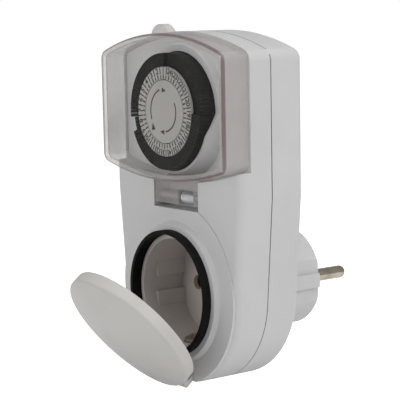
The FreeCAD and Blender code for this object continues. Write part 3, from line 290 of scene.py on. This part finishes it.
@dataclass(frozen=True)
class ClearLid:
    """Clear polycarbonate with painted shade, darker and browner where light runs along its edges, and with
    painted reflection streaks on its side walls.

    Its bands are measured inwards from the lid's outline. Light passes through the real lid, so its
    shadow is only a share of what its walls would cast.
    """

    name: str
    front_y: float
    half_width: float
    top_centre_z: float
    top_r: float
    low_centre_z: float
    low_r: float
    # painted shade: the darker, browner colour of the lid's edge bands, where light runs along the edges
    edge: Colour = (0.17, 0.125, 0.12)
    body: Colour = (0.46, 0.44, 0.43)
    flat_alpha: float = 0.012
    side_alpha: float = 0.55
    edge_alpha: float = 0.8
    graze_alpha: float = 0.30
    shadow_share: float = 0.1
    edge_start: float = 1.1 * MM
    edge_end: float = 0.7 * MM
    wall_start: float = 2.4 * MM
    wall_end: float = 1.9 * MM
    front_start: float = 1.0 * MM
    front_end: float = 1.4 * MM
    # how far the painted reflection streaks move the side walls' cover
    painted_reflection_spread: float = 0.08
    arc_share: float = 0.8
    graze_power: float = 5.0
    most_alpha: float = 0.96
    rough: float = 0.06
    specular: float = 0.6

    def arc_distance(self, net: NodeNet, centre_z: float) -> bpy.types.NodeSocket:
        """The distance from a point in the XZ plane.

        Args:
            net: the material's nodes.
            centre_z: the point's height, with X = 0.

        Returns:
            The distance in metres.
        """
        split = net.tree.nodes.new("ShaderNodeSeparateXYZ")
        net.link(net.place, split.inputs[0])
        rise = net.maths("SUBTRACT", split.outputs["Z"], centre_z)
        across_squared = net.maths("POWER", split.outputs["X"], 2.0)
        rise_squared = net.maths("POWER", rise, 2.0)
        square = net.maths("ADD", across_squared, rise_squared)
        return net.maths("SQRT", square)

    def bands(self, net: NodeNet, distance: bpy.types.NodeSocket,
              outline: float) -> tuple[bpy.types.NodeSocket, bpy.types.NodeSocket]:
        """The narrow edge band and the whole wall's thickness inside an outline.

        Args:
            net: the material's nodes.
            distance: the distance that the outline is measured by.
            outline: the outline's own distance.

        Returns:
            1 on the edge band, and 1 on the wall.
        """
        narrow = net.ramp(distance, 0.0, 1.0, outline - self.edge_start, outline - self.edge_end)
        wide = net.ramp(distance, 0.0, 1.0, outline - self.wall_start, outline - self.wall_end)
        return narrow, wide

    def material(self) -> bpy.types.Material:
        """Returns the finish as a material."""
        net = NodeNet(self.name)
        split = net.tree.nodes.new("ShaderNodeSeparateXYZ")
        net.link(net.place, split.inputs[0])
        across = net.maths("ABSOLUTE", split.outputs["X"])
        to_top = self.arc_distance(net, self.top_centre_z)
        to_low = self.arc_distance(net, self.low_centre_z)
        side, wide = self.bands(net, across, self.half_width)
        top, wide_top = self.bands(net, to_top, self.top_r)
        low, wide_low = self.bands(net, to_low, self.low_r)
        rim = net.maths("MAXIMUM", net.maths("MAXIMUM", side, top), low)
        front = net.ramp(split.outputs["Y"], 1.0, 0.0,
                         self.front_y + self.front_start, self.front_y + self.front_end)
        edge = net.maths("MULTIPLY", rim, front)
        # painted reflection: stretched noise streaks make the side walls cover more and less, standing in
        # for reflections on them
        painted_reflection_streaks = net.ramp(net.noise(70.0, 3.0, (1.0, 0.5, 0.35)), 0.0, 1.0)
        # painted shade: the edge bands take the darker, browner edge colour
        tint = net.mix(edge, self.body, self.edge)
        net.link(tint, net.shader.inputs["Base Color"])
        wall_cover_with_painted_reflection = net.ramp(painted_reflection_streaks, self.side_alpha - self.painted_reflection_spread,
                          self.side_alpha + self.painted_reflection_spread, 0.0, 1.0)
        wall = net.maths("MULTIPLY", wide, wall_cover_with_painted_reflection)
        arcs = net.maths("MAXIMUM", wide_top, wide_low)
        spread = net.maths("MULTIPLY", arcs, self.side_alpha * self.arc_share)
        cover = net.maths("MAXIMUM", net.maths("MAXIMUM", wall, spread), self.flat_alpha)
        # the edge bands also cover more, so the painted edge shade shows strongly
        cover = net.maths("MAXIMUM", cover, net.maths("MULTIPLY", edge, self.edge_alpha))
        weight = net.tree.nodes.new("ShaderNodeLayerWeight")
        graze = net.maths("POWER", weight.outputs["Facing"], self.graze_power)
        cover = net.maths("ADD", cover, net.maths("MULTIPLY", graze, self.graze_alpha))
        path = net.tree.nodes.new("ShaderNodeLightPath")
        lit = net.ramp(path.outputs["Is Shadow Ray"], 1.0, self.shadow_share, 0.0, 1.0)
        cover = net.maths("MULTIPLY", net.maths("MINIMUM", cover, self.most_alpha), lit)
        net.link(cover, net.shader.inputs["Alpha"])
        net.shader.inputs["Roughness"].default_value = self.rough
        net.shader.inputs["Specular IOR Level"].default_value = self.specular
        net.material.surface_render_method = "BLENDED"
        return net.material


FINISHES: dict[str, object] = {
    "shell": MouldedPlastic("satin_light_grey_shell", (0.60, 0.60, 0.605), (0.57, 0.57, 0.575), 0.38),
    "flap": MouldedPlastic("satin_flap", (0.56, 0.545, 0.53), (0.53, 0.515, 0.50), 0.36),
    "socket": MouldedPlastic("warm_grey_socket", (0.62, 0.575, 0.555), (0.57, 0.53, 0.51), 0.34),
    "dial_grey": MouldedPlastic("matt_dial_grey", (0.41, 0.395, 0.375), (0.38, 0.365, 0.35), 0.5),
    "dial_black": MouldedPlastic("matt_black_key", (0.012, 0.012, 0.012), (0.016, 0.016, 0.016), 0.55,
                                 1800.0, 0.00001, 0.12),
    "gear_plastic": MouldedPlastic("natural_gear", (0.80, 0.78, 0.72), (0.74, 0.72, 0.66), 0.45),
    "movement": MouldedPlastic("movement_plate", (0.62, 0.62, 0.60), (0.58, 0.58, 0.56), 0.5),
    "switch_black": MouldedPlastic("switch_case_black", (0.018, 0.018, 0.019), (0.024, 0.024, 0.025), 0.3),
    "seal_rubber": SoftRubber("black_seal_rubber"),
    "steel": PlatedMetal("zinc_plated_steel", (0.62, 0.62, 0.63), (0.50, 0.50, 0.50), 0.3),
    "motor_steel": PlatedMetal("motor_can_steel", (0.58, 0.58, 0.59), (0.47, 0.47, 0.47), 0.34,
                               (1.0, 1.0, 0.08)),
    "brass": PlatedMetal("pressed_brass", (0.74, 0.56, 0.26), (0.58, 0.41, 0.18), 0.3),
    "nickel": PlatedMetal("nickel_plated_brass", (0.66, 0.60, 0.50), (0.44, 0.38, 0.30), 0.2),
    "spring_wire": PlatedMetal("bright_spring_wire", (0.90, 0.92, 0.95), (0.80, 0.82, 0.86), 0.42),
    "magnet": MouldedPlastic("ferrite_magnet", (0.045, 0.045, 0.048), (0.07, 0.07, 0.075), 0.6),
    "coil": CoilWinding("copper_winding"),
}


def clear_selection() -> None:
    """Leave nothing selected."""
    if bpy.context.object and bpy.context.object.mode != "OBJECT":
        bpy.ops.object.mode_set(mode="OBJECT")
    bpy.ops.object.select_all(action="DESELECT")


def pick(obj: bpy.types.Object) -> None:
    """Select one object alone and make it active.

    Args:
        obj: the object.
    """
    clear_selection()
    obj.select_set(True)
    bpy.context.view_layer.objects.active = obj


def settle(obj: bpy.types.Object) -> None:
    """Put an object's place, turn and size into its mesh.

    Args:
        obj: the object.
    """
    pick(obj)
    bpy.ops.object.transform_apply(location=True, rotation=True, scale=True)


def join(parts: list[bpy.types.Object], name: str) -> bpy.types.Object:
    """Join meshes into one named piece.

    Args:
        parts: the meshes.
        name: the piece's name.

    Returns:
        The joined piece.
    """
    clear_selection()
    for part in parts:
        part.select_set(True)
    bpy.context.view_layer.objects.active = parts[0]
    bpy.ops.object.join()
    piece = bpy.context.object
    piece.name = name
    piece.data.name = name
    return piece


def dress(piece: bpy.types.Object, material: bpy.types.Material, body: str) -> None:
    """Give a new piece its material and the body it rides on.

    Args:
        piece: the piece.
        material: its finish.
        body: the moving body.
    """
    piece.data.materials.clear()
    piece.data.materials.append(material)
    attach(piece, body)
    log.info("%s rides on %s: %d faces", piece.name, body, len(piece.data.polygons))


@dataclass
class DialPrint:
    """The numerals and ticks on the turning ring, and the arrows on the fixed disc.

    An arc is its radius and its first and last angle. A head is its radius, its angle and the way
    it points. Angles are degrees from +X towards +Z.
    """

    centre: Vector
    face_y: float
    ring_inner: float = 11.5 * MM
    ring_outer: float = 15.9 * MM
    numeral_height: float = 2.05 * MM
    numeral_r: float = 14.55 * MM
    hours: int = 24
    ticks_per_hour: int = 2
    lift: float = 0.02 * MM
    ink_thickness: float = 0.03 * MM
    letter_size: float = 1.45  # of a numeral's height
    letter_swell: float = 0.08 * MM
    letter_space: float = 0.9
    letter_steps: int = 2
    tick_gap: float = 0.15 * MM
    hour_tick_outer: float = 13.25 * MM
    hour_tick_width: float = 0.6 * MM
    fine_tick_outer: float = 12.9 * MM
    fine_tick_width: float = 0.5 * MM
    divider_inner: float = 13.3 * MM
    divider_gap: float = 0.05 * MM
    arrow_width: float = 0.55 * MM
    arc_start_width: float = 0.01 * MM
    arc_steps: int = 28
    weld: float = 0.002 * MM
    upper_arc: Triple = (8.1 * MM, 201.0, 108.0)
    upper_head: Triple = (7.65 * MM, 92.0, -6.0)
    lower_arc: Triple = (7.05 * MM, 29.0, -84.0)
    lower_head: Triple = (7.3 * MM, -97.0, 176.0)
    head_length: float = 2.5 * MM
    head_width: float = 1.8 * MM
    pointer: Triple = (8.9 * MM, 221.0, 98.0)
    pointer_length: float = 2.6 * MM
    pointer_width: float = 2.3 * MM
    ink: dict[Ink, bpy.types.Material] = field(default_factory=dict)

    def point(self, radius: float, angle: float) -> Vector:
        """A point on the dial's face.

        Args:
            radius: distance from the axis.
            angle: degrees from +X towards +Z.

        Returns:
            The point, just in front of the face.
        """
        turn = math.radians(angle)
        return self.centre + Vector((radius * math.cos(turn), self.face_y - self.lift - self.centre.y,
                                     radius * math.sin(turn)))

    def numeral(self, text: str, angle: float) -> bpy.types.Object:
        """One numeral that stands on the dial's middle.

        Args:
            text: the number.
            angle: its place round the dial in degrees.

        Returns:
            The numeral as a mesh.
        """
        clear_selection()
        bpy.ops.object.text_add(location=self.point(self.numeral_r, angle),
                                rotation=(math.pi / 2, math.radians(90 - angle), 0))
        obj = bpy.context.object
        obj.data.body = text
        obj.data.size = self.numeral_height * self.letter_size
        obj.data.align_x = "CENTER"
        obj.data.align_y = "CENTER"
        obj.data.resolution_u = self.letter_steps
        obj.data.offset = self.letter_swell
        obj.data.space_character = self.letter_space
        bpy.ops.object.convert(target="MESH")
        settle(bpy.context.object)
        return bpy.context.object

    def bar(self, inner: float, outer: float, angle: float, width: float) -> bpy.types.Object:
        """One tick between two radii.

        Args:
            inner: its inner radius.
            outer: its outer radius.
            angle: its place in degrees.
            width: its width.

        Returns:
            The tick as a flat mesh.
        """
        clear_selection()
        bpy.ops.mesh.primitive_plane_add(size=1.0, location=self.point((inner + outer) / 2, angle),
                                         rotation=(math.pi / 2, math.radians(90 - angle), 0))
        obj = bpy.context.object
        obj.scale = (width, outer - inner, 1.0)
        settle(obj)
        return obj

    def arc(self, radius: float, start: float, end: float) -> bpy.types.Object:
        """A curved line drawn by spinning a short edge about the dial's axis.

        Args:
            radius: the arc's radius.
            start: its first angle in degrees.
            end: its last angle in degrees.

        Returns:
            The line as a flat mesh.
        """
        obj = self.bar(radius - self.arrow_width / 2, radius + self.arrow_width / 2, start,
                       self.arc_start_width)
        bpy.ops.object.mode_set(mode="EDIT")
        bpy.ops.mesh.select_all(action="SELECT")
        bpy.ops.mesh.spin(steps=self.arc_steps, angle=math.radians(start - end),
                          center=self.point(0, 0), axis=(0, -1, 0))
        bpy.ops.mesh.select_all(action="SELECT")
        bpy.ops.mesh.remove_doubles(threshold=self.weld)
        bpy.ops.object.mode_set(mode="OBJECT")
        return obj

    def head(self, radius: float, angle: float, turn: float, length: float,
             width: float) -> bpy.types.Object:
        """A triangular head.

        Args:
            radius: the head's middle from the axis.
            angle: the head's place in degrees.
            turn: the way it points, in degrees from +X towards +Z.
            length: tip to base.
            width: the base.

        Returns:
            The head as a flat mesh.
        """
        clear_selection()
        bpy.ops.mesh.primitive_circle_add(vertices=3, radius=1.0, fill_type="NGON",
                                          location=self.point(radius, angle),
                                          rotation=(math.pi / 2, math.radians(90 - turn), 0))
        obj = bpy.context.object
        obj.scale = (width / UNIT_TRIANGLE_SIDE, length / UNIT_TRIANGLE_HEIGHT, 1.0)
        settle(obj)
        return obj

    def build(self) -> None:
        """Print the ring, which turns, and the disc, which stays."""
        ring: list[bpy.types.Object] = []
        step = 360.0 / self.hours
        tick_inner = self.ring_inner + self.tick_gap
        divider_outer = self.ring_outer - self.divider_gap
        for hour in range(self.hours):
            angle = 90.0 + step * hour
            ring.append(self.numeral(str(hour + 1), angle))
            ring.append(self.bar(tick_inner, self.hour_tick_outer, angle, self.hour_tick_width))
            for part in range(1, self.ticks_per_hour):
                fine = angle + step * part / self.ticks_per_hour
                ring.append(self.bar(tick_inner, self.fine_tick_outer, fine, self.fine_tick_width))
            ring.append(self.bar(self.divider_inner, divider_outer, angle + step / 2, self.fine_tick_width))
        piece = join(ring, "hour_numerals")
        self.thicken(piece)
        dress(piece, self.ink[Ink.NUMERAL], "dial")
        marks = [
            self.arc(*self.upper_arc),
            self.head(*self.upper_head, self.head_length, self.head_width),
            self.arc(*self.lower_arc),
            self.head(*self.lower_head, self.head_length, self.head_width),
            self.head(*self.pointer, self.pointer_length, self.pointer_width),
        ]
        piece = join(marks, "turning_arrows")
        self.thicken(piece)
        dress(piece, self.ink[Ink.ARROW], "housing")

    def thicken(self, piece: bpy.types.Object) -> None:
        """Give flat print its thickness, from just above the face back onto it.

        Args:
            piece: the flat print.
        """
        pick(piece)
        bpy.ops.object.mode_set(mode="EDIT")
        bpy.ops.mesh.select_all(action="SELECT")
        bpy.ops.mesh.normals_make_consistent(inside=False)
        bpy.ops.object.mode_set(mode="OBJECT")
        solidify = piece.modifiers.new("ink", "SOLIDIFY")
        solidify.thickness = self.ink_thickness
        solidify.offset = 0.0
        bpy.ops.object.modifier_apply(modifier="ink")


@dataclass
class ShellSeam:
    """The dark joint line where the two shells meet."""

    low_y: float
    high_y: float
    proud: float = 0.03 * MM
    thickness: float = 0.2 * MM
    weld: float = 0.001 * MM
    middle_z: float = 35 * MM
    flat_limit: float = 0.5
    side_x: float = 36.9 * MM
    top_z: float = 87 * MM
    knee_z: float = 36 * MM
    bottom_centre_z: float = 1 * MM
    bottom_r: float = 33.6 * MM

    def build(self, material: bpy.types.Material) -> None:
        """Cut a thin band out of a copy of the rear shell's rim and stand it just proud.

        Args:
            material: the joint's finish.
        """
        pick(frame["nodes"]["rear_housing"])
        bpy.ops.object.duplicate()
        band = bpy.context.object
        band.name = "shell_seam"
        band.data.name = "shell_seam"
        band.parent = None
        for key in list(band.keys()):
            del band[key]
        bpy.ops.object.mode_set(mode="EDIT")
        bpy.ops.mesh.select_all(action="SELECT")
        bpy.ops.mesh.remove_doubles(threshold=self.weld)
        for y, outer in ((self.low_y, False), (self.high_y, True)):
            bpy.ops.mesh.select_all(action="SELECT")
            bpy.ops.mesh.bisect(plane_co=(0, y, 0), plane_no=(0, 1, 0),
                                clear_outer=outer, clear_inner=not outer)
        bpy.ops.mesh.select_all(action="DESELECT")
        bpy.ops.object.mode_set(mode="OBJECT")
        middle = Vector((0, (self.low_y + self.high_y) / 2, self.middle_z))
        for face in band.data.polygons:
            away = face.center - middle
            outward = Vector((away.x, 0, away.z)).dot(face.normal) > 0
            facing = outward and abs(face.normal.y) < self.flat_limit
            rim = self.on_outline(face.center)
            face.select = not (facing and rim)
        bpy.ops.object.mode_set(mode="EDIT")
        bpy.ops.mesh.delete(type="FACE")
        bpy.ops.mesh.select_all(action="SELECT")
        bpy.ops.transform.shrink_fatten(value=self.proud)
        bpy.ops.object.mode_set(mode="OBJECT")
        solidify = band.modifiers.new("lip", "SOLIDIFY")
        solidify.thickness = self.thickness
        solidify.offset = -1.0
        bpy.ops.object.modifier_apply(modifier="lip")
        dress(band, material, "housing")

    def on_outline(self, point: Vector) -> bool:
        """Whether a point lies on the shells' outer wall and not on an inner one.

        Args:
            point: a face's centre.

        Returns:
            True on the outer wall.
        """
        if abs(point.x) > self.side_x or point.z > self.top_z:
            return True
        if point.z > self.knee_z:
            return False
        return math.hypot(point.x, point.z - self.bottom_centre_z) > self.bottom_r


@dataclass
class TimerSwitch:
    """The whole object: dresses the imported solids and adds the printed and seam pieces."""

    lid_top: float = 93.0 * MM
    lid_top_r: float = 99.5 * MM
    lid_bottom: float = 40.8 * MM
    lid_bottom_r: float = 128.0 * MM
    made: dict[str, bpy.types.Material] = field(default_factory=dict)

    def finish(self, slot: str) -> bpy.types.Material:
        """The material of a slot, made once.

        Args:
            slot: the record's material slot.

        Returns:
            The material.
        """
        if slot not in self.made:
            self.made[slot] = self.lid() if slot == "clear_cover" else FINISHES[slot].material()
        return self.made[slot]

    def lid(self) -> bpy.types.Material:
        """Returns the clear lid's material, set by the lid's own size."""
        low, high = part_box("dial_cover")
        top_r = self.lid_top_r
        low_r = self.lid_bottom_r
        return ClearLid("clear_lid", low.y, high.x, self.lid_top - top_r, top_r,
                        self.lid_bottom + low_r, low_r).material()

    def dress_nodes(self) -> None:
        """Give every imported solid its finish."""
        slots = {entry["node"]: entry["material_slot"] for entry in frame["record"]["subparts"]}
        for name, obj in frame["nodes"].items():
            material = self.finish(slots[name])
            if not obj.material_slots:
                obj.data.materials.append(material)
            for place in obj.material_slots:
                place.material = material
            pick(obj)
            bpy.ops.object.shade_smooth_by_angle(angle=math.radians(SMOOTH_ANGLE))
        log.info("dressed %d solids", len(frame["nodes"]))

    def build(self) -> None:
        """Build and dress the object."""
        self.dress_nodes()
        low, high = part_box("hour_ring")
        centre = (low + high) / 2
        dial_print = DialPrint(centre, low.y)
        dial_print.ink = {
            Ink.NUMERAL: PrintedInk("numeral_ink").material(),
            Ink.ARROW: PrintedInk("arrow_ink").material(),
        }
        dial_print.build()
        seam_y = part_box("rear_housing")[0].y
        seam = ShellSeam(seam_y + SEAM_START, seam_y + SEAM_END)
        seam.build(MouldedPlastic("seam_shadow", (0.20, 0.20, 0.205), (0.17, 0.17, 0.175), 0.6).material())


@dataclass
class Studio:
    """A white floor, soft lamps and the camera at the photograph's place."""

    floor_z: float
    azimuth: float = 53.63
    elevation: float = 7.62
    roll: float = -1.173
    place: Triple = (0.42002, -0.35964, 0.09977)
    lens: float = 131.4
    sensor_width: float = 36.0
    nearest: float = 10.0 * MM
    shift: tuple[float, float] = (0.0453, 0.0217)
    fill_strength: float = 0.26
    white_strength: float = 1.0
    floor_side: float = 6.0
    floor_colour: Colour = (0.93, 0.93, 0.93)
    floor_rough: float = 0.9
    floor_glow: float = 0.85

    def camera(self) -> None:
        """Set the camera."""
        az = math.radians(self.azimuth)
        el = math.radians(self.elevation)
        back = Vector((math.sin(az) * math.cos(el), -math.cos(az) * math.cos(el), math.sin(el)))
        right = Vector((0, 0, 1)).cross(back).normalized()
        up = back.cross(right)
        turn = math.radians(self.roll)
        side = math.cos(turn) * right + math.sin(turn) * up
        rise = -math.sin(turn) * right + math.cos(turn) * up
        basis = Matrix((side, rise, back)).transposed().to_4x4()
        clear_selection()
        bpy.ops.object.camera_add()
        camera = bpy.context.object
        camera.matrix_world = Matrix.Translation(self.place) @ basis
        camera.data.lens = self.lens
        camera.data.sensor_width = self.sensor_width
        camera.data.shift_x, camera.data.shift_y = self.shift
        camera.data.clip_start = self.nearest
        bpy.context.scene.camera = camera

    def lamp(self, name: str, place: Triple, target: Triple, size: float, power: float,
             tint: Colour) -> None:
        """Add a soft square lamp.

        Args:
            name: its name.
            place: where it stands.
            target: what it points at.
            size: its side.
            power: watts.
            tint: its colour.
        """
        clear_selection()
        bpy.ops.object.light_add(type="AREA", location=place)
        lamp = bpy.context.object
        lamp.name = name
        lamp.data.shape = "SQUARE"
        lamp.data.size = size
        lamp.data.energy = power
        lamp.data.color = tint
        aim = Vector(target) - Vector(place)
        lamp.rotation_euler = aim.to_track_quat("-Z", "Y").to_euler()

    def see_white(self, tree: bpy.types.NodeTree) -> bpy.types.NodeSocket:
        """Whether the background is seen directly or through the clear lid.

        Args:
            tree: the node tree.

        Returns:
            1 where it is.
        """
        path = tree.nodes.new("ShaderNodeLightPath")
        first = tree.nodes.new("ShaderNodeMath")
        first.operation = "MAXIMUM"
        tree.links.new(path.outputs["Is Camera Ray"], first.inputs[0])
        tree.links.new(path.outputs["Is Transmission Ray"], first.inputs[1])
        return first.outputs[0]

    def world(self) -> None:
        """A white world for the camera and an even grey one for the object."""
        world = bpy.data.worlds.new("studio")
        world.use_nodes = True
        bpy.context.scene.world = world
        tree = world.node_tree
        plain = tree.nodes["Background"]
        plain.inputs["Color"].default_value = (1.0, 1.0, 1.0, 1)
        plain.inputs["Strength"].default_value = self.fill_strength
        white = tree.nodes.new("ShaderNodeBackground")
        white.inputs["Color"].default_value = (1, 1, 1, 1)
        white.inputs["Strength"].default_value = self.white_strength
        mix = tree.nodes.new("ShaderNodeMixShader")
        tree.links.new(self.see_white(tree), mix.inputs["Fac"])
        tree.links.new(plain.outputs[0], mix.inputs[1])
        tree.links.new(white.outputs[0], mix.inputs[2])
        tree.links.new(mix.outputs[0], tree.nodes["World Output"].inputs["Surface"])

    def floor(self) -> None:
        """A pale floor that carries only the object's shadow."""
        clear_selection()
        bpy.ops.mesh.primitive_plane_add(size=self.floor_side, location=(0, 0, self.floor_z))
        floor = bpy.context.object
        floor.name = "studio_floor"
        material = bpy.data.materials.new("studio_floor")
        material.use_nodes = True
        shader = material.node_tree.nodes["Principled BSDF"]
        shader.inputs["Base Color"].default_value = (*self.floor_colour, 1)
        shader.inputs["Roughness"].default_value = self.floor_rough
        shader.inputs["Specular IOR Level"].default_value = 0.0
        glow = material.node_tree.nodes.new("ShaderNodeEmission")
        glow.inputs["Color"].default_value = (1, 1, 1, 1)
        glow.inputs["Strength"].default_value = self.floor_glow
        add = material.node_tree.nodes.new("ShaderNodeAddShader")
        mix = material.node_tree.nodes.new("ShaderNodeMixShader")
        tree = material.node_tree
        tree.links.new(shader.outputs[0], add.inputs[0])
        tree.links.new(glow.outputs[0], add.inputs[1])
        tree.links.new(self.see_white(tree), mix.inputs["Fac"])
        tree.links.new(shader.outputs[0], mix.inputs[1])
        tree.links.new(add.outputs[0], mix.inputs[2])
        tree.links.new(mix.outputs[0], tree.nodes["Material Output"].inputs["Surface"])
        floor.data.materials.append(material)

    def build(self) -> None:
        """Set up the studio."""
        self.camera()
        self.world()
        self.floor()
        self.lamp("side_lamp", place=(0.75, 0.10, 0.45), target=(0.03, -0.03, 0.03),
                  size=0.7, power=3.4, tint=(1.0, 0.985, 0.985))
        self.lamp("top_lamp", place=(0.05, -0.05, 0.9), target=(0, -0.04, 0.03),
                  size=0.7, power=3.8, tint=(1, 1, 1))
        self.lamp("front_lamp", place=(-0.25, -0.85, 0.35), target=(0, -0.05, 0.03),
                  size=0.6, power=2.4, tint=(1, 0.99, 0.975))


def main() -> None:
    """Build the object and its studio."""
    logging.basicConfig(level=logging.INFO, format="%(message)s")
    bpy.context.scene.view_settings.view_transform = "Standard"
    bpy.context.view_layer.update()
    studio = Studio(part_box("rear_housing")[0].z - FLOOR_DROP)
    studio.build()
    TimerSwitch().build()
    clear_selection()


if __name__ == "__main__":
    main()
